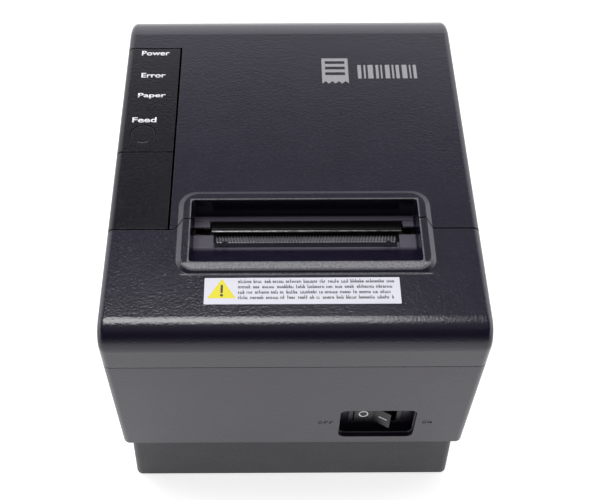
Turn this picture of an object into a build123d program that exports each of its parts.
from build123d import *
import math
import os

# Countertop thermal receipt printer for 80 mm paper.
# Millimetres. X to the right, Y to the rear, Z up.
# The origin is on the table, under the middle of the housing.

# ---- Housing ----
WIDTH = 145.0
DEPTH = 180.0
TOP = 127.0              # flat top above the table
WALL = 2.4               # moulded wall
FRONT_ROUND = 9.5        # front upper edge
REAR_ROUND = 20.0        # rear upper edge
SIDE_ROUND = 2.8         # side edges and upright corners
SEAM = 0.6               # gap between two moulded covers
PARTING = 106.0          # height of the line between the case and its covers
CASE_FOOT = 40.7         # lower edge of the case
FOOT_HEIGHT = 2.5        # how far the feet hold the base off the table
PLINTH_INSET = 3.0       # base set back under the case, at its top
PLINTH_FLARE = 1.8       # how much wider the base is at its bottom, on each side
PLINTH_FLARE_ENDS = 0.6  # the same at the front and rear
FLOOR = 2.5              # thickness of the base's floor
PLINTH_LAP = 1.2         # base wall hidden inside the case
SLACK = 0.2              # gap between a moulded lip and its wall
LIP = 1.4                # thickness of the locating lip
LIP_RISE = 3.0           # lip above the parting line

# ---- Openings in the top ----
SEAM_Y = -40.6           # seam between the front cover and the lid
JOG_Y = -36.3            # the same seam inside the paper recess
RECESS_LEFT = -40.0
RECESS_RIGHT = 49.0
RECESS_FRONT = -57.0
RECESS_REAR = -27.0
RIM_RISE = 1.4           # raised rim around the recess
RIM_BAND = 3.0           # flat width of the rim
RIM_SKIRT = 2.6          # sloping outside of the rim
RIM_CORNER = 4.5
RECESS_SKIN = 1.6        # walls of the recess
COLUMN_RIGHT = -48.5     # gap on the right of the control column
COLUMN_GAP = 0.9
KEY_REAR = -0.6          # seam between the release key and the console
CONSOLE_REAR = DEPTH / 2 - 29.0   # seam between the console and the lid

# ---- Lid hinge ----
HINGE_Y = DEPTH / 2 - 9.0
HINGE_Z = PARTING - 5.0
EAR_RADIUS = 11.6
EAR_CLEARANCE = 0.7
SKIRT_FOOT = PARTING - 12.0
PIN_RADIUS = 2.5
RUNNING_FIT = 0.05       # radial, shafts and pins

# ---- Paper path ----
PAPER_WIDTH = 80.0
SLOT_X = 4.5             # middle of the paper, right of the housing's middle
ROLL_RADIUS = 41.5
ROLL_CLEARANCE = 2.0
BUCKET_SKIN = 2.0
ROLL_Y = 28.0
PLATEN_RADIUS = 7.0
PLATEN_SHAFT = 3.0
PLATEN_Y = -29.2
PLATEN_Z = 104.0
NIP = 0.25               # paper gap between the head and the roller
BUSH_RADIUS = 5.0
SHEET = 1.2              # steel sheet of the mechanism
PAPER_HALF = PAPER_WIDTH / 2 + 0.5
PLATE_LEFT = SLOT_X - 47.0    # inner face of the left side plate
PLATE_RIGHT = SLOT_X + 47.0   # inner face of the right side plate

# ---- Gears ----
MODULE = 0.6
PLATEN_TEETH = 30
SMALL_TEETH = 34
BIG_TEETH = 52
MOTOR_TEETH = 16
MOTOR_Y = -65.0
MOTOR_Z = 89.0
MOTOR_RADIUS = 15.0
GEAR_FACE = 2.4          # width of a gear
RACK_MODULE = 0.8
RACK_TEETH = 9
CUTTER_TEETH = 40
CUTTER_PINION_TEETH = 10

# ---- Cutter ----
CUTTER_Y = -62.0
CUTTER_Z = 108.9
BLADE_TRAVEL = 10.0
BLADE_THICK = 0.8
BLADE_TOP = 116.0
BLADE_GAP = 0.1
FIXED_THICK = 1.0
FIXED_EDGE = -34.0

# ---- Power switch ----
SWITCH_X = 34.3
SWITCH_Z = 57.8
SWITCH_OPEN_W = 31.4
SWITCH_OPEN_H = 23.8
SWITCH_SETBACK = 4.6     # bezel behind the front face
ROCKER_W = 15.0
ROCKER_H = 12.0
ROCKER_SLOPE = 14.0      # degrees, each half of the rocker
ROCKER_DISH = 3.5        # middle of the rocker in front of its pivot

MARK_WIDTH = 1.7         # letters engraved beside the switch
MARK_HEIGHT = 2.5
MARK_STROKE = 0.42
MARK_GAP = 0.55
MARK_DEPTH = 0.3

# ---- Keys ----
FEED_X = -62.0
FEED_Y = 9.3
FEED_RADIUS = 5.2
BUTTON_FIT = 0.2
KEY_TRAVEL = 2.5

# ---- Boards ----
BOARD_THICK = 1.6
STANDOFF = 3.5
BAY_WIDTH = 110.0        # connector bay in the back of the base
BAY_DEPTH = 14.0
BAY_CEILING = 39.0

HALF = WIDTH / 2
FRONT = -DEPTH / 2
REAR = DEPTH / 2
BASE_TOP = CASE_FOOT + PLINTH_LAP
FLOOR_TOP = FOOT_HEIGHT + FLOOR
BOARD_TOP = FLOOR_TOP + STANDOFF + BOARD_THICK
BUCKET_RADIUS = ROLL_RADIUS + ROLL_CLEARANCE
ROLL_Z = 65.0
BUCKET_TOP = ROLL_Z + 23.0
DECK = 70.0
DECK_THICK = 2.4
BAY_WALL = REAR - BAY_DEPTH
COVER_FOOT = PARTING + SEAM / 4
CASE_TOP = PARTING - SEAM / 4
RIM_TOP = TOP + RIM_RISE
BLADE_SEAT = BLADE_TOP + BLADE_GAP + FIXED_THICK


# ---- Small helpers ----
def block(x0, x1, y0, y1, z0, z1):
    """A box between two corners."""
    return Pos((x0 + x1) / 2, (y0 + y1) / 2, (z0 + z1) / 2) * Box(x1 - x0, y1 - y0, z1 - z0)


def rod_x(x0, x1, y, z, radius):
    return Pos((x0 + x1) / 2, y, z) * Rot(0, 90, 0) * Cylinder(radius, x1 - x0)


def rod_y(y0, y1, x, z, radius):
    return Pos(x, (y0 + y1) / 2, z) * Rot(90, 0, 0) * Cylinder(radius, y1 - y0)


def rod_z(z0, z1, x, y, radius):
    return Pos(x, y, (z0 + z1) / 2) * Cylinder(radius, z1 - z0)


def side_plate(points, x0, x1):
    """A plate between x0 and x1 whose outline is a list of (y, z) points."""
    plane = Plane(origin=(x0, 0, 0), x_dir=(0, 1, 0), z_dir=(1, 0, 0))
    return extrude(plane * make_face(Polyline(*points, close=True)), amount=x1 - x0)


def plan_plate(points, z0, z1):
    """A plate between z0 and z1 whose outline is a list of (x, y) points."""
    return extrude(Pos(0, 0, z0) * make_face(Polyline(*points, close=True)), amount=z1 - z0)


def rounded_plate(x0, x1, y0, y1, z0, z1, radius):
    outline = RectangleRounded(x1 - x0, y1 - y0, radius)
    return extrude(Pos((x0 + x1) / 2, (y0 + y1) / 2, z0) * outline, amount=z1 - z0)


def group(solids):
    """Several separate solids that share one node."""
    return Compound(children=list(solids))


def spring(x, y, z, length, radius, wire, turns, turn_to=(0, 0, 0)):
    """A coil spring that stands on (x, y, z), before it is turned."""
    path = Helix(pitch=length / turns, height=length, radius=radius)
    section = Plane(origin=path @ 0, z_dir=path % 0) * Circle(wire)
    return Pos(x, y, z) * Rot(*turn_to) * sweep(section, path=path)


def pitch_radius(teeth, module=MODULE):
    return teeth * module / 2


def bearing_angle(start, end):
    """Direction from one (y, z) centre to another, in degrees from +Y towards +Z."""
    return math.degrees(math.atan2(end[1] - start[1], end[0] - start[0]))


def gear(centre, teeth, x0, x1, bore, first_tooth, module=MODULE):
    """A spur gear on an X axis. Its first tooth points along first_tooth, in degrees."""
    pitch = 360 / teeth
    tip = pitch_radius(teeth, module) + 0.75 * module
    root = pitch_radius(teeth, module) - 1.2 * module
    points = []
    for tooth in range(teeth):
        for radius, share in ((root, -0.29), (tip, -0.11), (tip, 0.11), (root, 0.29)):
            angle = math.radians(first_tooth + (tooth + share) * pitch)
            points.append((centre[0] + radius * math.cos(angle), centre[1] + radius * math.sin(angle)))
    return side_plate(points, x0, x1) - rod_x(x0 - 1, x1 + 1, *centre, bore)


def gap_facing(centre, teeth, other):
    """First-tooth angle that turns a gap between two teeth towards the other gear."""
    return bearing_angle(centre, other) + 180 / teeth


# ---- Where the gear centres lie ----
PLATEN = (PLATEN_Y, PLATEN_Z)
MOTOR = (MOTOR_Y, MOTOR_Z)
CUTTER = (CUTTER_Y, CUTTER_Z)


def idler_centre():
    """Centre of the reduction gear, in mesh with the motor below and the roller above."""
    to_motor = pitch_radius(MOTOR_TEETH) + pitch_radius(BIG_TEETH)
    to_platen = pitch_radius(SMALL_TEETH) + pitch_radius(PLATEN_TEETH)
    span = math.dist(MOTOR, PLATEN)
    along = (to_motor**2 - to_platen**2 + span**2) / (2 * span)
    aside = math.sqrt(to_motor**2 - along**2)
    unit_y = (PLATEN[0] - MOTOR[0]) / span
    unit_z = (PLATEN[1] - MOTOR[1]) / span
    return (MOTOR[0] + along * unit_y + aside * unit_z, MOTOR[1] + along * unit_z - aside * unit_y)


IDLER = idler_centre()
CUTTER_MOTOR = (CUTTER_Y - 12.0, CUTTER_Z - 9.0)


# ---- Housing forms ----
def housing_form(inset, low):
    """The housing's outside, drawn in by inset, from a height low up to the top."""
    depth = DEPTH - 2 * inset
    height = TOP - inset - low
    outline = Pos(0, low + height / 2) * Rectangle(depth, height)
    upper = outline.vertices().sort_by(Axis.Y)[-2:]
    front_corner = upper.sort_by(Axis.X)[0]
    outline = fillet(front_corner, FRONT_ROUND - inset)
    rear_corner = outline.vertices().group_by(Axis.Y)[-1].sort_by(Axis.X)[-1]
    outline = fillet(rear_corner, REAR_ROUND - inset)
    plane = Plane(origin=(0, 0, 0), x_dir=(0, 1, 0), z_dir=(1, 0, 0))
    form = extrude(plane * outline, amount=HALF - inset, both=True)
    edges = [
        edge
        for edge in form.edges()
        if abs(abs(edge.center().X) - (HALF - inset)) < 0.01 and edge.center().Z > low + 0.01
    ]
    return fillet(edges, max(SIDE_ROUND - inset, 0.5))


def cover_shell(low):
    return housing_form(0, low) - housing_form(WALL, low - 1)


def rim():
    """The raised rim around the paper recess, before the recess is cut."""
    lower = rim_outline(RIM_BAND + RIM_SKIRT, TOP - 0.4)
    upper = rim_outline(RIM_BAND, RIM_TOP)
    return loft([lower, upper])


def rim_outline(band, height):
    width = RECESS_RIGHT - RECESS_LEFT + 2 * band
    depth = RECESS_REAR - RECESS_FRONT + 2 * band
    middle_x = (RECESS_LEFT + RECESS_RIGHT) / 2
    middle_y = (RECESS_FRONT + RECESS_REAR) / 2
    return Pos(middle_x, middle_y, height) * RectangleRounded(width, depth, RIM_CORNER + band / 2)


def recess_hole(grow, low):
    return rounded_plate(
        RECESS_LEFT - grow, RECESS_RIGHT + grow, RECESS_FRONT - grow, RECESS_REAR + grow,
        low, RIM_TOP + 1, 1.5 + grow,
    )


def seam_points(side):
    """The seam between the front cover and the lid, left to right, moved by side."""
    band = RIM_BAND
    return [
        (-HALF - 1, SEAM_Y + side),
        (RECESS_LEFT - band - 3.4, SEAM_Y + side),
        (RECESS_LEFT - band + 0.4, JOG_Y + side),
        (RECESS_RIGHT + band - 0.4, JOG_Y + side),
        (RECESS_RIGHT + band + 2.4, SEAM_Y + side),
        (HALF + 1, SEAM_Y + side),
    ]


def front_zone(low):
    points = [(-HALF - 1, FRONT - 1)] + seam_points(-SEAM / 2) + [(HALF + 1, FRONT - 1)]
    return plan_plate(points, low, RIM_TOP + 1)


def lid_zone(low):
    """Everything behind the front seam, less the control column."""
    points = seam_points(SEAM / 2) + [(HALF + 1, REAR + 1), (-HALF - 1, REAR + 1)]
    zone = plan_plate(points, low, RIM_TOP + 1)
    edge = COLUMN_RIGHT + COLUMN_GAP / 2
    return zone - block(-HALF - 2, edge, SEAM_Y - 9, CONSOLE_REAR + SEAM / 2, low - 1, RIM_TOP + 2)


# ---- Base ----
def plinth(inset, low, high):
    """The base's outside, drawn in by inset, slightly wider at its bottom."""
    lower = RectangleRounded(
        WIDTH - 2 * (PLINTH_INSET - PLINTH_FLARE + inset),
        DEPTH - 2 * (PLINTH_INSET - PLINTH_FLARE_ENDS + inset), SIDE_ROUND + 0.2,
    )
    upper = RectangleRounded(
        WIDTH - 2 * (PLINTH_INSET + inset), DEPTH - 2 * (PLINTH_INSET + inset), SIDE_ROUND + 0.2,
    )
    return loft([Pos(0, 0, low) * lower, Pos(0, 0, high) * upper])


BASE_SCREWS = [(x * (HALF - 11.0), y * (REAR - 30.0)) for x in (-1, 1) for y in (-1, 1)]
FEET = [(x * (HALF - 11.0), y * (REAR - 12.0)) for x in (-1, 1) for y in (-1, 1)]
BOARD_LEFT = PLATE_LEFT - 0.5
BOARD_RIGHT = PLATE_RIGHT - 1.5
BOARD_FRONT = FRONT + 28.0
BOARD_REAR = BAY_WALL - WALL - 0.4
BOARD_SCREWS = [
    (x, y) for x in (BOARD_LEFT + 4, BOARD_RIGHT - 4) for y in (BOARD_FRONT + 5, BOARD_REAR - 18)
]
SOCKETS = {  # left edge, width, height of each rear socket
    "power_inlet": (SLOT_X - 40.0, 14.0, 14.0),
    "drawer_socket": (SLOT_X - 18.0, 13.2, 12.6),
    "usb_socket": (SLOT_X + 5.0, 12.0, 11.0),
    "network_socket": (SLOT_X + 25.0, 16.0, 13.4),
}
SOCKET_PROUD = 1.0
SOCKET_FIT = 0.3
SCREW_SHANK = 1.5
SCREW_HEAD = 3.0


def base_tub():
    tub = plinth(0, FOOT_HEIGHT, BASE_TOP)
    bay = block(-BAY_WIDTH / 2, BAY_WIDTH / 2, BAY_WALL, REAR + 1, -1, BAY_CEILING)
    bay_keep = block(
        -BAY_WIDTH / 2 - WALL, BAY_WIDTH / 2 + WALL, BAY_WALL - WALL, REAR, -1, BASE_TOP + 1
    )
    cavity = plinth(WALL, FLOOR_TOP, BASE_TOP + 0.01) - bay_keep
    tub = tub - cavity - bay
    for x, y in BASE_SCREWS:
        tub += rod_z(FOOT_HEIGHT, CASE_FOOT - 2.7, x, y, 4.5)
        tub -= rod_z(0, CASE_FOOT, x, y, SCREW_SHANK + 0.2)
        tub -= rod_z(0, FOOT_HEIGHT + 2.2, x, y, SCREW_HEAD + 0.1)
    for x, y in FEET:
        tub -= rod_z(0, FOOT_HEIGHT + 1, x, y, 5.5)
    for x, y in BOARD_SCREWS:
        tub += rod_z(FLOOR_TOP - 0.5, FLOOR_TOP + STANDOFF, x, y, 3.5)
        tub -= rod_z(FLOOR_TOP - 0.6, FLOOR_TOP + STANDOFF + 1, x, y, 1.25)
    for left, width, height in SOCKETS.values():
        tub -= block(
            left - SOCKET_FIT, left + width + SOCKET_FIT, BAY_WALL - WALL - 1, BAY_WALL + 1,
            BOARD_TOP - 0.3, BOARD_TOP + height + SOCKET_FIT,
        )
    return tub


def rubber_feet():
    feet = []
    for x, y in FEET:
        foot = rod_z(0, FOOT_HEIGHT + 1, x, y, 5.5)
        feet.append(chamfer(foot.edges().group_by(Axis.Z)[0], 0.6))
    return group(feet)


def pan_screw(x, y, head_low, shank_high, head_radius=SCREW_HEAD, shank=SCREW_SHANK, head=2.0):
    """A screw driven upwards, its head at the bottom, with a cross slot."""
    screw = rod_z(head_low, head_low + head, x, y, head_radius)
    screw -= block(x - 0.4, x + 0.4, y - 1.6, y + 1.6, head_low - 1, head_low + 0.8)
    screw -= block(x - 1.6, x + 1.6, y - 0.4, y + 0.4, head_low - 1, head_low + 0.8)
    return screw + rod_z(head_low + head - 0.1, shank_high, x, y, shank)


def base_screws():
    return group(pan_screw(x, y, FOOT_HEIGHT + 0.2, CASE_FOOT + 9) for x, y in BASE_SCREWS)


# ---- Case ----
def switch_pocket(grow):
    return block(
        SWITCH_X - SWITCH_OPEN_W / 2 - grow, SWITCH_X + SWITCH_OPEN_W / 2 + 1.4 + grow,
        FRONT + WALL, FRONT + SWITCH_SETBACK + 1.6 + grow,
        SWITCH_Z - SWITCH_OPEN_H / 2 - 2.0 - grow, SWITCH_Z + SWITCH_OPEN_H / 2 + 2.0 + grow,
    )


def switch_opening():
    outline = RectangleRounded(SWITCH_OPEN_W, SWITCH_OPEN_H, 3.0)
    plane = Plane(origin=(SWITCH_X + 0.6, FRONT - 1, SWITCH_Z), x_dir=(1, 0, 0), z_dir=(0, -1, 0))
    return extrude(plane * outline, amount=-(WALL + 2))


SWITCH_BODY_W = ROCKER_W + 5.0
SWITCH_BODY_H = ROCKER_H + 1.8
SWITCH_BACK = FRONT + 20.0


def case_lip():
    ring = housing_form(WALL + SLACK, PARTING - 7) - housing_form(WALL + SLACK + LIP, PARTING - 8)
    root_ring = housing_form(WALL - 0.2, PARTING - 7) - housing_form(WALL + SLACK + LIP, PARTING - 8)
    keep = block(-HALF, HALF, FRONT, REAR - 33, PARTING - 7, PARTING + LIP_RISE)
    keep_root = block(-HALF, HALF, FRONT, REAR - 33, PARTING - 7, PARTING - 3)
    return (ring & keep) + (root_ring & keep_root)


def hinge_arm(side):
    outer = side * (HALF - WALL - 0.3)
    inner = side * (HALF - WALL - 4.1)
    low, high = min(outer, inner), max(outer, inner)
    arm = rod_x(low, high, HINGE_Y, HINGE_Z, 6.0)
    arm += block(low, high, HINGE_Y - 22, HINGE_Y, HINGE_Z - 5, HINGE_Z + 4)
    wall = side * (HALF - WALL + 0.3)
    low, high = min(inner, wall), max(inner, wall)
    arm += block(low, high, HINGE_Y - 22, HINGE_Y - 14, HINGE_Z - 16, HINGE_Z + 4)
    return arm - rod_x(-HALF, HALF, HINGE_Y, HINGE_Z, PIN_RADIUS)


def engraved(word, x, z):
    """Letters cut into the front wall, centred on x and z and read from the front."""
    pitch = MARK_WIDTH + MARK_GAP
    left = x - (len(word) - 1) * pitch / 2
    back, side, height = FRONT + MARK_DEPTH, MARK_WIDTH / 2, MARK_HEIGHT / 2
    cuts = []
    for place, letter in enumerate(word):
        middle = left + place * pitch
        post = block(middle - side, middle - side + MARK_STROKE, FRONT - 1, back, z - height, z + height)
        if letter == "O":
            ring = RectangleRounded(MARK_WIDTH, MARK_HEIGHT, side - 0.1)
            ring -= RectangleRounded(
                MARK_WIDTH - 2 * MARK_STROKE, MARK_HEIGHT - 2 * MARK_STROKE, side - MARK_STROKE - 0.1
            )
            wall = Plane(origin=(middle, back, z), x_dir=(1, 0, 0), z_dir=(0, -1, 0))
            cuts.append(extrude(wall * ring, amount=2))
        elif letter == "F":
            top = block(middle - side, middle + side, FRONT - 1, back, z + height - MARK_STROKE, z + height)
            half = MARK_STROKE / 2
            arm = block(middle - side, middle + side * 0.6, FRONT - 1, back, z - half, z + half)
            cuts.append(post + top + arm)
        else:
            slant = [
                (middle - side, z + height), (middle - side + MARK_STROKE * 1.3, z + height),
                (middle + side, z - height), (middle + side - MARK_STROKE * 1.3, z - height),
            ]
            plane = Plane(origin=(0, back, 0), x_dir=(1, 0, 0), z_dir=(0, -1, 0))
            stroke = extrude(plane * make_face(Polyline(*slant, close=True)), amount=2)
            cuts.append(post + Pos(MARK_WIDTH - MARK_STROKE, 0, 0) * post + stroke)
    return cuts


def main_case():
    case = cover_shell(CASE_FOOT) & block(-HALF, HALF, FRONT, REAR, CASE_FOOT, CASE_TOP)
    case += case_lip()
    case -= rod_x(-HALF - 1, HALF + 1, HINGE_Y, HINGE_Z, EAR_RADIUS + EAR_CLEARANCE)
    key_well = PARTING - KEY_TRAVEL - SEAM
    case -= block(
        -HALF - 1, COLUMN_RIGHT, SEAM_Y, KEY_REAR + SEAM, key_well, PARTING + LIP_RISE + 1
    )
    case += switch_pocket(1.6) - switch_pocket(0)
    case -= switch_opening()
    case -= block(
        SWITCH_X - SWITCH_BODY_W / 2 - 0.1, SWITCH_X + SWITCH_BODY_W / 2 + 0.1,
        FRONT + WALL, FRONT + 12, SWITCH_Z - SWITCH_BODY_H / 2 - 0.1, SWITCH_Z + SWITCH_BODY_H / 2 + 0.1,
    )
    for side in (-1, 1):
        case += hinge_arm(side)
    for x, y in BASE_SCREWS:
        outward = math.copysign(1, x)
        wall = outward * (HALF - WALL + 0.2)
        boss = rod_z(CASE_FOOT - 2.4, CASE_FOOT + 16, x, y, 4.5)
        boss += block(min(x, wall), max(x, wall), y - 1.2, y + 1.2, BASE_TOP + 0.5, CASE_FOOT + 16)
        case += boss
        case -= rod_z(CASE_FOOT - 3, CASE_FOOT + 9, x, y, SCREW_SHANK)
    for y in BRACKET_RIBS:
        case += block(-HALF + WALL - 0.2, -HALF + WALL + 5, y - 1, y + 1, BRACKET - 4, BRACKET)
    words = engraved("OFF", SWITCH_X - 20.7, SWITCH_Z + 1.7) + engraved("ON", SWITCH_X + 21.2, SWITCH_Z + 1.7)
    for cut in words:
        case -= cut
    return case


def hinge_pins():
    pins = []
    for side in (-1, 1):
        ends = (side * (HALF - WALL - 4.6), side * (HALF - 0.6))
        pins.append(rod_x(min(ends), max(ends), HINGE_Y, HINGE_Z, PIN_RADIUS))
    return group(pins)


# ---- Main board ----
def main_board():
    board = block(BOARD_LEFT, BOARD_RIGHT, BOARD_FRONT, BOARD_REAR, BOARD_TOP - BOARD_THICK, BOARD_TOP)
    for x, y in BOARD_SCREWS:
        board -= rod_z(0, BOARD_TOP + 1, x, y, SCREW_SHANK)
    return board


def board_screws():
    screws = []
    for x, y in BOARD_SCREWS:
        screw = rod_z(BOARD_TOP, BOARD_TOP + 1.8, x, y, 2.6)
        screw -= block(x - 1.8, x + 1.8, y - 0.3, y + 0.3, BOARD_TOP + 1.0, BOARD_TOP + 2)
        screw += rod_z(BOARD_TOP - 4.6, BOARD_TOP + 0.1, x, y, 1.25)
        screws.append(screw)
    return group(screws)


def board_components():
    top = BOARD_TOP
    middle = (BOARD_LEFT + BOARD_RIGHT) / 2
    parts = [
        block(middle - 7, middle + 7, 0, 14, top, top + 1.4),
        block(middle + 14, middle + 22, 2, 12, top, top + 1.2),
        block(middle - 22, middle - 14, 4, 12, top, top + 1.6),
        block(middle - 20, middle + 16, BOARD_FRONT + 10, BOARD_FRONT + 15, top, top + 6),
        block(BOARD_RIGHT - 16, BOARD_RIGHT - 10, BOARD_FRONT + 12, BOARD_FRONT + 30, top, top + 8),
        block(BOARD_LEFT + 9, BOARD_LEFT + 15, BOARD_FRONT + 12, BOARD_FRONT + 30, top, top + 7),
    ]
    for step in range(3):
        parts.append(rod_z(top, top + 13, BOARD_LEFT + 24 + 12 * step, BOARD_FRONT + 24, 4.8))
    for step in range(6):
        x = middle - 25 + 9 * step
        parts.append(block(x, x + 4, 22, 25, top, top + 1.5))
    return group(parts)


def socket_shell(name, mouth):
    """A board socket with its mouth to the rear. mouth is cut out of it."""
    left, width, height = SOCKETS[name]
    body = block(left, left + width, BAY_WALL - 17, BAY_WALL + SOCKET_PROUD, BOARD_TOP, BOARD_TOP + height)
    return body - mouth


def usb_socket():
    left, width, height = SOCKETS["usb_socket"]
    x, z = left + width / 2, BOARD_TOP + height / 2
    mouth = block(x - 4.2, x + 4.2, BAY_WALL - 9, BAY_WALL + 3, z - 3.9, z + 3.9)
    tongue = block(x - 2.8, x + 2.8, BAY_WALL - 10, BAY_WALL - 1, z - 1.6, z + 1.6)
    return socket_shell("usb_socket", mouth) + tongue


def jack_mouth(name, width, height, depth):
    left, full, _ = SOCKETS[name]
    x, z = left + full / 2, BOARD_TOP + 2.0
    mouth = block(x - width / 2, x + width / 2, BAY_WALL - depth, BAY_WALL + 3, z, z + height)
    top = z + height
    return mouth + block(x - 1.6, x + 1.6, BAY_WALL - depth, BAY_WALL + 3, top - 0.1, top + 1.6)


def network_socket():
    return socket_shell("network_socket", jack_mouth("network_socket", 11.7, 7.0, 12.0))


def drawer_socket():
    return socket_shell("drawer_socket", jack_mouth("drawer_socket", 9.7, 6.8, 12.0))


def power_inlet():
    left, width, height = SOCKETS["power_inlet"]
    x, z = left + width / 2, BOARD_TOP + height / 2
    inlet = socket_shell("power_inlet", rod_y(BAY_WALL - 8, BAY_WALL + 3, x, z, 5.4))
    for step in range(3):
        angle = math.radians(90 + 120 * step)
        across, up = x + 2.4 * math.cos(angle), z + 2.4 * math.sin(angle)
        inlet += rod_y(BAY_WALL - 9, BAY_WALL - 1, across, up, 0.7)
    return inlet


# ---- Paper bucket and deck ----
BUCKET_LEFT = SLOT_X - PAPER_HALF - BUCKET_SKIN
BUCKET_RIGHT = SLOT_X + PAPER_HALF + BUCKET_SKIN
DECK_HALF = HALF - 12.5
DECK_FRONT = FRONT + 10.0
RIBBON_LEFT = SLOT_X - 15.0
RIBBON_RIGHT = SLOT_X + 15.0


def trough(radius, x0, x1, high):
    pipe = rod_x(x0, x1, ROLL_Y, ROLL_Z, radius)
    return pipe + block(x0, x1, ROLL_Y - radius, ROLL_Y + radius, ROLL_Z, high)


def paper_bucket():
    bucket = trough(BUCKET_RADIUS + BUCKET_SKIN, BUCKET_LEFT, BUCKET_RIGHT, BUCKET_TOP)
    deck_rear = ROLL_Y - BUCKET_RADIUS - BUCKET_SKIN + 0.5
    bucket += block(-DECK_HALF, DECK_HALF, DECK_FRONT, deck_rear, DECK, DECK + DECK_THICK)
    for x in (-DECK_HALF + 5, DECK_HALF - 5):
        for y in (DECK_FRONT + 8, deck_rear - 8):
            bucket += rod_z(FLOOR_TOP, DECK + 0.5, x, y, 4.5)
    for x in (BUCKET_LEFT - 8, BUCKET_RIGHT + 8):
        near = BUCKET_LEFT if x < 0 else BUCKET_RIGHT
        bucket += block(x - 3, x + 3, ROLL_Y + 16, ROLL_Y + 22, FLOOR_TOP, ROLL_Z + 10)
        bucket += block(min(x, near), max(x, near), ROLL_Y + 16, ROLL_Y + 22, ROLL_Z, ROLL_Z + 10)
    bucket -= trough(BUCKET_RADIUS, BUCKET_LEFT + BUCKET_SKIN, BUCKET_RIGHT - BUCKET_SKIN, TOP)
    bucket -= ribbon_slot(DECK - 1, DECK + DECK_THICK + 1)
    return bucket


def ribbon_slot(low, high):
    return block(RIBBON_LEFT - 2, RIBBON_RIGHT + 2, HEAD_Y - 11.0, HEAD_Y - 6.5, low, high)


def paper_sensor():
    seat = DECK + DECK_THICK
    return block(SLOT_X - 4, SLOT_X + 4, PLATEN_Y + 3, PLATEN_Y + 9, seat, seat + 6)


# ---- Print mechanism ----
HEAD_Y = PLATEN_Y - PLATEN_RADIUS - NIP - 1.5    # front of the ceramic strip
HEAD_FRONT = HEAD_Y - 7.0
HEAD_TOP = PLATEN_Z + PLATEN_RADIUS
HEAD_PIVOT = (HEAD_Y - 4.5, PLATEN_Z - 20.0)
FRAME_FOOT = DECK + DECK_THICK
FRAME_TOP = BLADE_TOP - BLADE_THICK - 1.1
SPRING_PLATE = HEAD_FRONT - 3.5
SPRING_X = (SLOT_X - 22, SLOT_X, SLOT_X + 22)
SPRING_LENGTH = 4.6


def frame_side(x0, x1):
    """One side plate, with an open slot for the roller's bush."""
    front, rear = DECK_FRONT + 1.0, PLATEN_Y + 14.0
    points = [
        (front, FRAME_FOOT), (rear, FRAME_FOOT), (rear, FRAME_TOP - 12), (rear - 6, FRAME_TOP),
        (front + 8, FRAME_TOP), (front, FRAME_TOP - 10),
    ]
    plate = side_plate(points, x0, x1)
    slot = rod_x(x0 - 1, x1 + 1, *PLATEN, BUSH_RADIUS + RUNNING_FIT)
    reach = BUSH_RADIUS + RUNNING_FIT
    slot += side_plate(
        [
            (PLATEN_Y - reach, PLATEN_Z), (PLATEN_Y + reach, PLATEN_Z),
            (PLATEN_Y + reach + 2, FRAME_TOP + 1), (PLATEN_Y - reach, FRAME_TOP + 1),
        ],
        x0 - 1, x1 + 1,
    )
    return plate - slot


def mech_frame():
    left = frame_side(PLATE_LEFT - SHEET, PLATE_LEFT)
    right = frame_side(PLATE_RIGHT, PLATE_RIGHT + SHEET)
    floor = block(
        PLATE_LEFT - 0.1, PLATE_RIGHT + 0.1, DECK_FRONT + 4, PLATEN_Y + 1, FRAME_FOOT, FRAME_FOOT + 1.0,
    )
    back = block(
        PLATE_LEFT - 0.1, PLATE_RIGHT + 0.1, SPRING_PLATE - 1.0, SPRING_PLATE,
        PLATEN_Z - 9, PLATEN_Z + 6.5,
    )
    frame = left + right + floor + back
    frame -= ribbon_slot(FRAME_FOOT - 1, FRAME_FOOT + 2)
    frame -= rod_x(PLATE_RIGHT - 1, PLATE_RIGHT + 3, *MOTOR, 3.0)
    frame -= rod_x(PLATE_RIGHT - 1, PLATE_RIGHT + 3, *IDLER, STUD_RADIUS)
    frame -= rod_x(PLATE_LEFT - 3, PLATE_LEFT + 1, *CUTTER_MOTOR, 2.0)
    frame -= rod_x(PLATE_LEFT - 3, PLATE_RIGHT + 3, *CUTTER, CUTTER_SHAFT + RUNNING_FIT)
    frame -= rod_x(PLATE_LEFT - 3, PLATE_RIGHT + 3, *HEAD_PIVOT, 2.0)
    frame -= rod_x(PLATE_LEFT - 3, PLATE_LEFT + 1, *LATCH, LATCH_SHAFT + RUNNING_FIT)
    return frame


def head_heatsink():
    left, right = SLOT_X - PAPER_HALF, SLOT_X + PAPER_HALF
    sink = block(left, right, HEAD_FRONT, HEAD_Y, HEAD_PIVOT[1] - 3, HEAD_TOP)
    fins = 6
    for fin in range(fins):
        z = PLATEN_Z - 8 + 1.0 * fin
        sink -= block(left + 4, right - 4, HEAD_FRONT - 1, HEAD_FRONT + 2, z - 6.0 + fin, z - 5.0 + fin)
    for x in SPRING_X:
        sink -= rod_y(HEAD_FRONT - 1, HEAD_FRONT + 3, x, PLATEN_Z, 3.6)
    low = HEAD_PIVOT[1] - 1
    sink += block(RIBBON_LEFT, RIBBON_RIGHT, HEAD_FRONT - 2.5, HEAD_FRONT + 0.5, low, low + 6)
    return sink - rod_x(left - 1, right + 1, *HEAD_PIVOT, 2.0 + RUNNING_FIT)


def head_substrate():
    left, right = SLOT_X - PAPER_HALF, SLOT_X + PAPER_HALF
    strip = block(left, right, HEAD_Y, HEAD_Y + 1.2, PLATEN_Z - 14, HEAD_TOP)
    bead = block(left + 1, right - 1, HEAD_Y + 1.2, HEAD_Y + 1.5, PLATEN_Z - 1.2, PLATEN_Z + 1.2)
    return strip + bead


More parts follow.
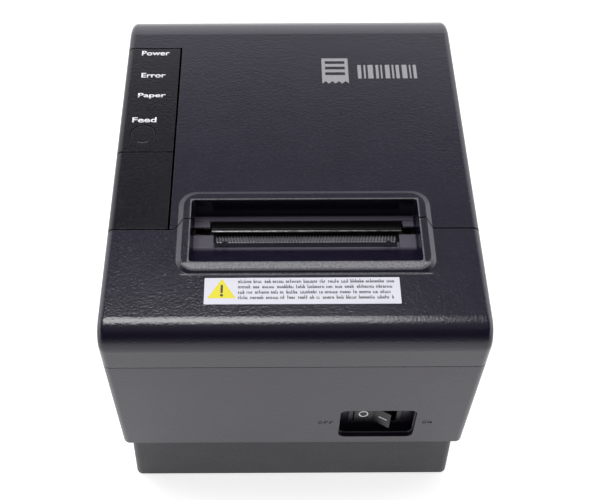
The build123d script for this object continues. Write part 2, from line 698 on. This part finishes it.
def head_pivot():
    return rod_x(PLATE_LEFT - SHEET, PLATE_RIGHT + SHEET, *HEAD_PIVOT, 2.0)


def head_springs():
    return group(
        spring(x, SPRING_PLATE + 0.4, PLATEN_Z, SPRING_LENGTH, 2.4, 0.35, 3, (-90, 0, 0)) for x in SPRING_X
    )


def head_ribbon():
    front = HEAD_FRONT - 3.2
    return block(RIBBON_LEFT, RIBBON_RIGHT, front, front + 0.3, BOARD_TOP + 6.2, HEAD_PIVOT[1] + 3)


STUD_RADIUS = 2.5
TRAIN_X = PLATE_RIGHT + SHEET + 0.6      # plane of the roller's gear
OUTER_X = TRAIN_X + GEAR_FACE + 0.4      # plane of the motor's pinion


def paper_motor():
    motor = rod_x(PLATE_RIGHT - 25, PLATE_RIGHT, *MOTOR, MOTOR_RADIUS)
    motor += rod_x(PLATE_RIGHT - 0.5, PLATE_RIGHT + SHEET - 0.2, *MOTOR, 2.8)
    return motor


def motor_pinion():
    """The pinion with the rotor shaft that carries it."""
    first = bearing_angle(MOTOR, IDLER)
    pinion = gear(MOTOR, MOTOR_TEETH, OUTER_X, OUTER_X + GEAR_FACE + 0.4, 1.4, first)
    return pinion + rod_x(PLATE_RIGHT + SHEET + 0.2, OUTER_X + GEAR_FACE + 1.2, *MOTOR, 1.5)


def reduction_gear():
    big = gear(IDLER, BIG_TEETH, OUTER_X, OUTER_X + GEAR_FACE, STUD_RADIUS + RUNNING_FIT,
               gap_facing(IDLER, BIG_TEETH, MOTOR))
    small = gear(IDLER, SMALL_TEETH, TRAIN_X, OUTER_X + 0.1, STUD_RADIUS + RUNNING_FIT,
                 gap_facing(IDLER, SMALL_TEETH, PLATEN))
    return big + small


def gear_stud():
    end = OUTER_X + GEAR_FACE + 0.3
    return rod_x(PLATE_RIGHT, end, *IDLER, STUD_RADIUS) + rod_x(end, end + 1, *IDLER, STUD_RADIUS + 1.2)


# ---- Roller, carried by the lid ----
BUSH_LEFT = (PLATE_LEFT - 5.3, PLATE_LEFT + 2.5)
BUSH_RIGHT = (PLATE_RIGHT - 2.5, PLATE_RIGHT + SHEET + 0.3)


def platen_rubber():
    tube = rod_x(SLOT_X - PAPER_HALF, SLOT_X + PAPER_HALF, *PLATEN, PLATEN_RADIUS)
    return tube - rod_x(PLATE_LEFT, PLATE_RIGHT, *PLATEN, PLATEN_SHAFT)


def platen_shaft():
    return rod_x(BUSH_LEFT[0] - 0.4, OUTER_X - 0.3, *PLATEN, PLATEN_SHAFT)


def platen_gear():
    return gear(PLATEN, PLATEN_TEETH, TRAIN_X, TRAIN_X + GEAR_FACE, PLATEN_SHAFT, bearing_angle(PLATEN, IDLER))


def platen_bearings():
    bushes = []
    for x0, x1 in (BUSH_LEFT, BUSH_RIGHT):
        bushes.append(
            rod_x(x0, x1, *PLATEN, BUSH_RADIUS) - rod_x(x0 - 1, x1 + 1, *PLATEN, PLATEN_SHAFT + RUNNING_FIT)
        )
    return group(bushes)


BRACKET_WEB = PLATEN_Z + PLATEN_RADIUS + 1.2
BRACKET_SCREWS = [(x, PLATEN_Y + 11.2) for x in (SLOT_X - 34, SLOT_X + 34)]
BLADE_SCREWS = [(x, RECESS_REAR + 3.0) for x in (SLOT_X - 30, SLOT_X + 30)]


def platen_bracket():
    left = (PLATE_LEFT + 1.0, PLATE_LEFT + 1.0 + SHEET)
    right = (PLATE_RIGHT - 1.0 - SHEET, PLATE_RIGHT - 1.0)
    bracket = block(left[0], right[1], PLATEN_Y + 2, PLATEN_Y + 17, BRACKET_WEB, BRACKET_WEB + SHEET)
    for x0, x1 in (left, right):
        cheek = rod_x(x0, x1, *PLATEN, BUSH_RADIUS + 2)
        cheek += side_plate(
            [
                (PLATEN_Y, PLATEN_Z - 3), (PLATEN_Y + 8, PLATEN_Z), (PLATEN_Y + 17, BRACKET_WEB),
                (PLATEN_Y + 17, BRACKET_WEB + SHEET), (PLATEN_Y + 2, BRACKET_WEB + SHEET),
                (PLATEN_Y, PLATEN_Z + 3),
            ],
            x0, x1,
        )
        bracket += cheek - rod_x(x0 - 1, x1 + 1, *PLATEN, BUSH_RADIUS)
    for x, y in BRACKET_SCREWS:
        bracket -= rod_z(BRACKET_WEB - 1, BRACKET_WEB + 3, x, y, 1.5)
    for x, y in BLADE_SCREWS:
        bracket -= rod_z(BRACKET_WEB - 1, BRACKET_WEB + 3, x, y, 2.8)
    return bracket


def lid_screws():
    screws = [pan_screw(x, y, BRACKET_WEB - 1.8, BRACKET_WEB + 8, 2.5, 1.5, 1.8) for x, y in BRACKET_SCREWS]
    head_low = BLADE_TOP + BLADE_GAP - 1.5
    screws += [pan_screw(x, y, head_low, head_low + 7, 2.5, 1.5, 1.5) for x, y in BLADE_SCREWS]
    return group(screws)


def fixed_blade():
    low = BLADE_TOP + BLADE_GAP
    left, right = SLOT_X - 37, SLOT_X + 39
    profile = [
        (FIXED_EDGE, low), (RECESS_REAR + 5.2, low), (RECESS_REAR + 5.2, low + FIXED_THICK),
        (FIXED_EDGE + 1.2, low + FIXED_THICK), (FIXED_EDGE, low + 0.5),
    ]
    blade = side_plate(profile, left, right)
    for x, y in BLADE_SCREWS:
        blade -= rod_z(low - 1, low + 2, x, y, 1.5)
    return blade


# ---- Cutter ----
CUTTER_SHAFT = 2.0
RACK_X = (SLOT_X - 16.5, SLOT_X + 13.5)
RACK_WIDTH = 5.0
KNOB_X = PLATE_LEFT - SHEET - 0.8
BLADE_LEFT = SLOT_X - 41.5
BLADE_RIGHT = SLOT_X + 42.5
BLADE_REST = -41.0
CARRIER_TOP = BLADE_TOP - BLADE_THICK
PITCH_LINE = CUTTER_Z + RACK_TEETH * RACK_MODULE / 2


def cutter_frame():
    high = CARRIER_TOP
    front = DECK_FRONT + 0.5
    frame = block(PLATE_LEFT - SHEET, PLATE_RIGHT + SHEET, front, BLADE_REST + 1, high - 1.1, high - 0.05)
    return frame - block(BLADE_LEFT + 3, BLADE_RIGHT - 3, front + 2.5, BLADE_REST + 2, high - 2, high + 1)


def movable_blade():
    middle = (BLADE_LEFT + BLADE_RIGHT) / 2
    points = [
        (BLADE_LEFT, BLADE_REST - 17), (BLADE_RIGHT, BLADE_REST - 17), (BLADE_RIGHT, BLADE_REST),
        (middle, BLADE_REST - 1.5), (BLADE_LEFT, BLADE_REST),
    ]
    return plan_plate(points, BLADE_TOP - BLADE_THICK, BLADE_TOP)


def blade_carrier():
    body_low = PITCH_LINE + 1.2 * RACK_MODULE
    pitch = math.pi * RACK_MODULE
    teeth = math.ceil(BLADE_TRAVEL / pitch) + 2
    first = CUTTER_Y + 1.5 * pitch - (teeth - 1) * pitch
    tip_z, root_z = PITCH_LINE - 0.75 * RACK_MODULE, body_low + 0.1
    body = block(SLOT_X - 24, SLOT_X + 22, first - pitch / 2, BLADE_REST - 6, body_low, CARRIER_TOP)
    for x in RACK_X:
        for tooth in range(teeth):
            y = first + tooth * pitch
            outline = [
                (y - 0.29 * pitch, root_z), (y - 0.11 * pitch, tip_z),
                (y + 0.11 * pitch, tip_z), (y + 0.29 * pitch, root_z),
            ]
            body += side_plate(outline, x, x + RACK_WIDTH)
    return body


def cutter_shaft():
    shaft = rod_x(KNOB_X - GEAR_FACE - 0.6, RACK_X[1] + RACK_WIDTH + 3, *CUTTER, CUTTER_SHAFT)
    for x in RACK_X:
        shaft += gear(CUTTER, RACK_TEETH, x, x + RACK_WIDTH, CUTTER_SHAFT - 0.1, 90, RACK_MODULE)
    return shaft


def cutter_gear():
    first = bearing_angle(CUTTER, CUTTER_MOTOR)
    return gear(CUTTER, CUTTER_TEETH, KNOB_X - GEAR_FACE, KNOB_X, CUTTER_SHAFT, first)


def cutter_motor():
    motor = rod_x(PLATE_LEFT, PLATE_LEFT + 25, *CUTTER_MOTOR, 10.0)
    return motor + rod_x(PLATE_LEFT - SHEET + 0.2, PLATE_LEFT + 0.5, *CUTTER_MOTOR, 1.9)


def cutter_pinion():
    first = gap_facing(CUTTER_MOTOR, CUTTER_PINION_TEETH, CUTTER)
    pinion = gear(CUTTER_MOTOR, CUTTER_PINION_TEETH, KNOB_X - GEAR_FACE - 0.4, KNOB_X + 0.2, 0.9, first)
    return pinion + rod_x(KNOB_X - GEAR_FACE - 1, PLATE_LEFT - SHEET, *CUTTER_MOTOR, 1.0)


# ---- Front cover ----
LEDGE_Y = -43.5          # where the sloping floor ends and the tear bar lies
LEDGE_TOP = 117.6
TEAR_LEFT = SLOT_X - 35.5
TEAR_RIGHT = SLOT_X + 37.0
TEAR_TIP = -37.6
TEAR_THICK = 0.8
TOOTH_PITCH = 1.2
LABEL = (-33.6, 39.3, -75.3, -63.6)
LABEL_CORNER = 0.3


def recess_walls(zone):
    """Upright walls of the recess that lie within one cover's zone."""
    walls = recess_hole(RECESS_SKIN, BLADE_SEAT) - recess_hole(0, BLADE_SEAT - 1)
    return walls & zone & block(-HALF, HALF, FRONT, REAR, BLADE_SEAT, RIM_TOP - 0.5)


def front_cover():
    zone = front_zone(COVER_FOOT)
    cover = (cover_shell(COVER_FOOT) + rim()) & zone
    cover -= recess_hole(0, COVER_FOOT)
    cover += recess_walls(front_zone(COVER_FOOT))
    floor = side_plate(
        [
            (RECESS_FRONT - 1.6, RIM_TOP - 0.1), (RECESS_FRONT, RIM_TOP - 0.5), (LEDGE_Y, LEDGE_TOP + 1.2),
            (LEDGE_Y, LEDGE_TOP), (LEDGE_Y + 3.2, LEDGE_TOP), (LEDGE_Y + 3.2, LEDGE_TOP - 1.0),
            (LEDGE_Y - 1.0, LEDGE_TOP - 1.0), (RECESS_FRONT - 1.6, RIM_TOP - 3.0),
        ],
        RECESS_LEFT - RECESS_SKIN, RECESS_RIGHT + RECESS_SKIN,
    )
    cover += floor
    for x0, x1 in ((RECESS_LEFT - 0.1, TEAR_LEFT - 0.5), (TEAR_RIGHT + 0.5, RECESS_RIGHT + 0.1)):
        cover += block(x0, x1, LEDGE_Y - 0.5, TEAR_TIP, LEDGE_TOP - 0.8, LEDGE_TOP + 1.4)
    inner = HALF - WALL + 0.2
    wall_rear = SEAM_Y - SEAM / 2
    for x0, x1 in ((-inner, RECESS_LEFT - 6.6), (RECESS_RIGHT + 5.6, inner)):
        cover += block(x0, x1, wall_rear - 1.6, wall_rear, PARTING + 9, TOP - WALL + 0.2)
    for x, y in tear_screw_places():
        cover -= rod_z(LEDGE_TOP - 2, LEDGE_TOP + 2, x, y, 0.8)
    return cover


def tear_screw_places():
    return [(x, LEDGE_Y + 1.6) for x in (TEAR_LEFT + 4, TEAR_RIGHT - 4)]


def tear_bar():
    """A steel strip with a row of teeth along its rear edge."""
    count = int((TEAR_RIGHT - TEAR_LEFT) / TOOTH_PITCH)
    start = TEAR_LEFT
    root = TEAR_TIP - 1.3
    points = [(start, LEDGE_Y + 0.05), (start, root)]
    for tooth in range(count):
        points.append((start + (tooth + 0.5) * TOOTH_PITCH, TEAR_TIP))
        points.append((start + (tooth + 1) * TOOTH_PITCH, root))
    points.append((start + count * TOOTH_PITCH, LEDGE_Y + 0.05))
    bar = plan_plate(points, LEDGE_TOP, LEDGE_TOP + TEAR_THICK)
    for x, y in tear_screw_places():
        bar -= rod_z(LEDGE_TOP - 1, LEDGE_TOP + 2, x, y, 0.8)
    return bar


def tear_bar_screws():
    screws = []
    for x, y in tear_screw_places():
        head = LEDGE_TOP + TEAR_THICK
        screws.append(rod_z(head, head + 0.5, x, y, 1.4) + rod_z(LEDGE_TOP - 1.0, head + 0.1, x, y, 0.8))
    return group(screws)


def cover_label():
    left, right, front, rear = LABEL
    return rounded_plate(left, right, front, rear, TOP, TOP + 0.12, LABEL_CORNER)


# ---- Lid ----
BAR_FRONT = RECESS_REAR - 2.8


def lid_shell():
    zone = lid_zone(COVER_FOOT)
    lid = (cover_shell(COVER_FOOT) + rim()) & zone
    lid -= recess_hole(0, COVER_FOOT)
    lid += recess_walls(lid_zone(COVER_FOOT))
    skirt = cover_shell(SKIRT_FOOT) & block(-HALF, HALF, HINGE_Y + 5, REAR, SKIRT_FOOT, COVER_FOOT + 1)
    lid += skirt
    ears = rod_x(-HALF, HALF, HINGE_Y, HINGE_Z, EAR_RADIUS) & cover_shell(CASE_FOOT)
    ears &= group([
        block(-HALF, -HALF + WALL, FRONT, REAR, 0, TOP), block(HALF - WALL, HALF, FRONT, REAR, 0, TOP),
    ])
    lid += ears
    lid -= rod_x(-HALF - 1, HALF + 1, HINGE_Y, HINGE_Z, PIN_RADIUS + RUNNING_FIT)
    seat = BLADE_SEAT
    lid += block(RECESS_LEFT - 0.5, RECESS_RIGHT + 0.5, BAR_FRONT, RECESS_REAR + 6, seat, seat + 0.9)
    lid += block(
        RECESS_LEFT - 0.5, RECESS_RIGHT + 0.5, RECESS_REAR + 0.1, RECESS_REAR + 6, seat, TOP - WALL + 0.2,
    )
    for x0, x1 in ((RECESS_LEFT - 0.5, SLOT_X - 37.6), (SLOT_X + 39.6, RECESS_RIGHT + 0.5)):
        lid += block(x0, x1, BAR_FRONT - 2.8, RECESS_REAR + 1, seat - 0.7, seat + 0.6)
    left = COLUMN_RIGHT + COLUMN_GAP / 2
    under = TOP - WALL + 0.2
    lid += block(left, left + 1.8, SEAM_Y + SEAM / 2, CONSOLE_REAR + 2, PARTING + 9, under)
    lid += block(
        -HALF + WALL - 0.2, left + 1.8, CONSOLE_REAR + SEAM / 2, CONSOLE_REAR + 2.1, PARTING + 2, under,
    )
    right = RECESS_RIGHT + RIM_BAND + 2.6
    lid += block(right, HALF - WALL + 0.2, SEAM_Y + SEAM / 2, SEAM_Y + SEAM / 2 + 1.6, PARTING + 9, under)
    for x, y in BRACKET_SCREWS:
        lid += rod_z(BRACKET_WEB + SHEET, under, x, y, 3.5)
        lid -= rod_z(BRACKET_WEB, BRACKET_WEB + 8, x, y, 1.5)
    for x, y in BLADE_SCREWS:
        lid -= rod_z(BLADE_TOP - 1, BLADE_TOP + 5.6, x, y, 1.5)
    return lid


LINER = (PLATE_LEFT - 1.5, HALF - WALL - 2.0, -9.0, CONSOLE_REAR - 3.0)


def lid_liner():
    """Ribbed panel inside the lid that closes the paper space from above."""
    left, right, front, rear = LINER
    high = TOP - WALL
    liner = block(left, right, front, rear, PARTING + 4, high)
    liner -= block(left + 1.6, right - 1.6, front + 1.6, rear - 1.6, PARTING + 3, high - 1.6)
    ribs = 4
    for rib in range(ribs):
        x = SLOT_X - 33 + 22 * rib
        liner += block(x - 0.8, x + 0.8, front + 1, rear - 1, PARTING + 4, high - 1)
    return liner - rod_x(left + 3, right - 3, ROLL_Y, ROLL_Z, ROLL_RADIUS + 5)


# ---- Control column ----
BRACKET = PARTING - 10.0
BRACKET_THICK = 2.4
BRACKET_RIBS = (-12.0, 16.0, 50.0)
BRACKET_LEFT = -HALF + WALL + 0.1
BRACKET_RIGHT = COLUMN_RIGHT - 1.5
LATCH = (PLATEN_Y + 0.2, PLATEN_Z - 12.0)
LATCH_SHAFT = 2.0
LUG_X = BRACKET_LEFT + 9.5
CONSOLE_BOARD = PARTING + 5.5
KEY_POSTS = [(-HALF + 8.5, -19.0), (COLUMN_RIGHT - 5.5, -5.0)]
SPRING_PLACE = (-HALF + 12.5, -9.0)
LOOM_HOLE = (-HALF + 16.5, 40.0)
LAMP_PLACES = [(-HALF + 12.6, y) for y in (57.9 - 5.0, 44.0 - 5.0, 31.5 - 5.0)]


def side_bracket():
    """Shelf on the left wall that carries the console board, the key and the latch."""
    high = BRACKET + BRACKET_THICK
    shelf = block(BRACKET_LEFT, BRACKET_RIGHT, -24.0, CONSOLE_REAR - 3, BRACKET, high)
    lug = block(LUG_X, LUG_X + 2, LATCH[0] - 5, -19.0, LATCH[1] - 4, high)
    shelf += lug
    for x, y in KEY_POSTS:
        shelf += rod_z(BRACKET - 5, high, x, y, 4.0)
        shelf -= rod_z(BRACKET - 6, high + 1, x, y, 2.5 + RUNNING_FIT)
    shelf += rod_z(high, high + 8, *SPRING_PLACE, 2.4)
    shelf -= rod_z(BRACKET - 1, high + 1, *LOOM_HOLE, 2.5)
    for y in (6.0, CONSOLE_REAR - 8):
        shelf += rod_z(high - 0.1, CONSOLE_BOARD, BRACKET_LEFT + 4.6, y, 2.2)
        shelf += rod_z(high - 0.1, CONSOLE_BOARD, BRACKET_RIGHT - 3.5, y, 2.2)
    return shelf - rod_x(LUG_X - 1, LUG_X + 3, *LATCH, LATCH_SHAFT + RUNNING_FIT)


def column_piece(front, rear):
    """Part of the control column between two seams, open below."""
    right = COLUMN_RIGHT - COLUMN_GAP / 2
    zone = block(-HALF - 1, right, front, rear, COVER_FOOT, TOP + 1)
    piece = cover_shell(COVER_FOOT) & zone
    inner = -HALF + WALL - 0.2
    under = TOP - WALL + 0.2
    piece += block(right - 1.8, right, front, rear, PARTING + 4, under)
    piece += block(inner, right, front, front + 1.6, PARTING + 4, under)
    piece += block(inner, right, rear - 1.6, rear, PARTING + 4, under)
    return piece


def control_console():
    console = column_piece(KEY_REAR + SEAM / 2, CONSOLE_REAR - SEAM / 2)
    console -= rod_z(PARTING, TOP + 1, FEED_X, FEED_Y, FEED_RADIUS + BUTTON_FIT)
    for x, y in LAMP_PLACES:
        console -= rod_z(PARTING, TOP - 0.5, x, y, 1.5)
    return console


def light_pipes():
    return group(rod_z(CONSOLE_BOARD + 5.2, TOP - 0.5, x, y, 1.5) for x, y in LAMP_PLACES)


def console_board():
    right = COLUMN_RIGHT - COLUMN_GAP / 2 - 2.2
    return block(BRACKET_LEFT + 0.6, right, 3.0, CONSOLE_REAR - 5, CONSOLE_BOARD, CONSOLE_BOARD + 1.2)


def indicator_lamps():
    lamps = []
    for x, y in LAMP_PLACES:
        low = CONSOLE_BOARD + 1.2
        lamps.append(rod_z(low, low + 1.0, x, y, 1.9) + rod_z(low + 0.9, low + 3.6, x, y, 1.5))
    return group(lamps)


TACT_TOP = CONSOLE_BOARD + 1.2 + 3.5


def tact_switch():
    low = CONSOLE_BOARD + 1.2
    body = block(FEED_X - 3, FEED_X + 3, FEED_Y - 3, FEED_Y + 3, low, TACT_TOP)
    return body - rod_z(low + 1.5, TACT_TOP + 1, FEED_X, FEED_Y, 1.75 + RUNNING_FIT)


def feed_button():
    """Round button with a collar under the console's top and a stem into the switch."""
    under = TOP - WALL
    button = rod_z(under - 2, TOP, FEED_X, FEED_Y, FEED_RADIUS)
    button = fillet(button.edges().group_by(Axis.Z)[-1], 0.5)
    button += rod_z(under - 2.6, under - 0.1, FEED_X, FEED_Y, FEED_RADIUS + 1.4)
    return button + rod_z(TACT_TOP - 0.6, under - 2, FEED_X, FEED_Y, 1.75)


def release_key():
    """Large key beside the paper exit. Pressing it frees the lid."""
    key = column_piece(SEAM_Y + SEAM / 2, KEY_REAR - SEAM / 2)
    under = TOP - WALL + 0.2
    for x, y in KEY_POSTS:
        key += rod_z(BRACKET + 1, under, x, y, 2.5)
    crank_end = LATCH[0] - CRANK
    return key + block(CRANK_X, CRANK_X + 3, crank_end - 1.0, crank_end + 0.6, LATCH[1] + 2.4, under)


def release_spring():
    x, y = SPRING_PLACE
    low = BRACKET + BRACKET_THICK
    return spring(x, y, low + 0.5, TOP - WALL - KEY_TRAVEL - low - 1.4, 3.6, 0.45, 5)


CRANK = 7.2              # arm of the latch under the key
CRANK_X = LUG_X + 4.0
HOOK_X = (PLATE_LEFT - SHEET - 3.8, PLATE_LEFT - SHEET - 1.8)


def latch_lever():
    """Shaft with a crank under the key and a hook beside the roller's bush."""
    y, z = LATCH
    lever = rod_x(LUG_X - 0.6, PLATE_LEFT, y, z, LATCH_SHAFT)
    lever += rod_x(CRANK_X - 0.4, CRANK_X + 3.4, y, z, 3.4)
    lever += block(CRANK_X, CRANK_X + 3, y - CRANK - 1.5, y, z - 2.0, z + 2.0)
    outer = [
        (y + 3.5, z - 3.2), (y + 3.5, z + 3.0), (PLATEN_Y - 6.4, z + 4.4), (PLATEN_Y - 6.4, PLATEN_Z + 4.0),
        (PLATEN_Y - 5.3, PLATEN_Z + 5.4), (PLATEN_Y - 5.3, PLATEN_Z + 8.0), (PLATEN_Y - 9.6, PLATEN_Z + 6.0),
        (PLATEN_Y - 9.6, z + 1.0), (y - 4.0, z - 3.2),
    ]
    return lever + side_plate(outer, *HOOK_X)


# ---- Power switch ----
ROCKER_PIVOT_Y = FRONT + SWITCH_SETBACK + ROCKER_DISH * math.cos(math.radians(ROCKER_SLOPE))


def switch_housing():
    bezel_front = FRONT + SWITCH_SETBACK + 0.1
    seat = FRONT + SWITCH_SETBACK + 1.6
    half_w, half_h = SWITCH_BODY_W / 2, SWITCH_BODY_H / 2
    body = block(SWITCH_X - half_w - 1, SWITCH_X + half_w + 1, bezel_front, seat,
                 SWITCH_Z - half_h - 1, SWITCH_Z + half_h + 1)
    body += block(
        SWITCH_X - half_w, SWITCH_X + half_w, seat - 0.1, SWITCH_BACK, SWITCH_Z - half_h, SWITCH_Z + half_h,
    )
    cavity_h = ROCKER_H / 2 + 0.2
    body -= block(SWITCH_X - half_w + 0.9, SWITCH_X + half_w - 0.9, bezel_front - 1, ROCKER_PIVOT_Y + 4.2,
                  SWITCH_Z - cavity_h, SWITCH_Z + cavity_h)
    pin = rod_z(SWITCH_Z - cavity_h - 0.1, SWITCH_Z + cavity_h + 0.1, SWITCH_X, ROCKER_PIVOT_Y, 1.0)
    body += pin
    for x in (SWITCH_X - 5, SWITCH_X + 5):
        body += block(x - 0.4, x + 0.4, SWITCH_BACK - 0.1, SWITCH_BACK + 6, SWITCH_Z - 2.4, SWITCH_Z + 2.4)
    return body


def rocker():
    """A rocker with two sloping halves, turned so that its left half is pressed in."""
    half = ROCKER_W / 2
    end = ROCKER_DISH + half * math.tan(math.radians(ROCKER_SLOPE))
    outline = make_face(
        Polyline(
            (0, -ROCKER_DISH), (half, -end), (half - 1.2, 2.0), (-half + 1.2, 2.0), (-half, -end),
            close=True,
        )
    )
    solid = extrude(Pos(0, 0, -ROCKER_H / 2) * outline, amount=ROCKER_H)
    solid -= Cylinder(1.0 + RUNNING_FIT, ROCKER_H + 2)
    return Pos(SWITCH_X, ROCKER_PIVOT_Y, SWITCH_Z) * Rot(0, 0, -ROCKER_SLOPE) * solid


# ---- Wiring held inside ----
def loom(points, radius, bend):
    path = FilletPolyline(*points, radius=bend)
    section = Plane(origin=path @ 0, z_dir=path % 0) * Circle(radius)
    return sweep(section, path=path)


def wire_looms():
    """Bundles from the switch, the two motors and the console down to the main board."""
    switch_plug = (BOARD_RIGHT - 13, BOARD_FRONT + 22)
    console_plug = (BOARD_LEFT + 12, BOARD_FRONT + 26)
    switch = loom(
        [
            (SWITCH_X, SWITCH_BACK + 0.2, SWITCH_Z - 5), (SWITCH_X, SWITCH_BACK + 5, SWITCH_Z - 5),
            (SWITCH_X, SWITCH_BACK + 8, BOARD_TOP + 22), (*switch_plug, BOARD_TOP + 15),
            (*switch_plug, BOARD_TOP + 8.1),
        ],
        1.2, 2.5,
    )
    console = loom(
        [
            (*LOOM_HOLE, CONSOLE_BOARD - 0.2), (*LOOM_HOLE, ROLL_Z - 5),
            (LOOM_HOLE[0] + 2, -5.0, BOARD_TOP + 18),
            (*console_plug, BOARD_TOP + 15), (*console_plug, BOARD_TOP + 7.1),
        ],
        1.0, 3.0,
    )
    return group([switch, console])


def rating_label():
    return rounded_plate(-30, 30, -22, 22, FOOT_HEIGHT - 0.15, FOOT_HEIGHT, 2.0)


NODES = [
    base_tub, rubber_feet, base_screws, rating_label, main_case, hinge_pins, main_board, board_screws,
    board_components, usb_socket, network_socket, drawer_socket, power_inlet, paper_bucket, paper_sensor,
    mech_frame, head_heatsink, head_substrate, head_pivot, head_springs, head_ribbon, paper_motor,
    motor_pinion, reduction_gear, gear_stud, platen_rubber, platen_shaft, platen_gear, platen_bearings,
    platen_bracket, lid_screws, fixed_blade, cutter_frame, movable_blade, blade_carrier, cutter_shaft,
    cutter_gear, cutter_motor, cutter_pinion, front_cover, tear_bar, tear_bar_screws, cover_label,
    lid_shell, lid_liner, side_bracket, control_console, light_pipes, console_board, indicator_lamps,
    tact_switch, feed_button, release_key, release_spring, latch_lever, switch_housing, rocker, wire_looms,
]

os.makedirs("parts", exist_ok=True)
for make in NODES:
    export_step(make(), os.path.join("parts", make.__name__ + ".step"))
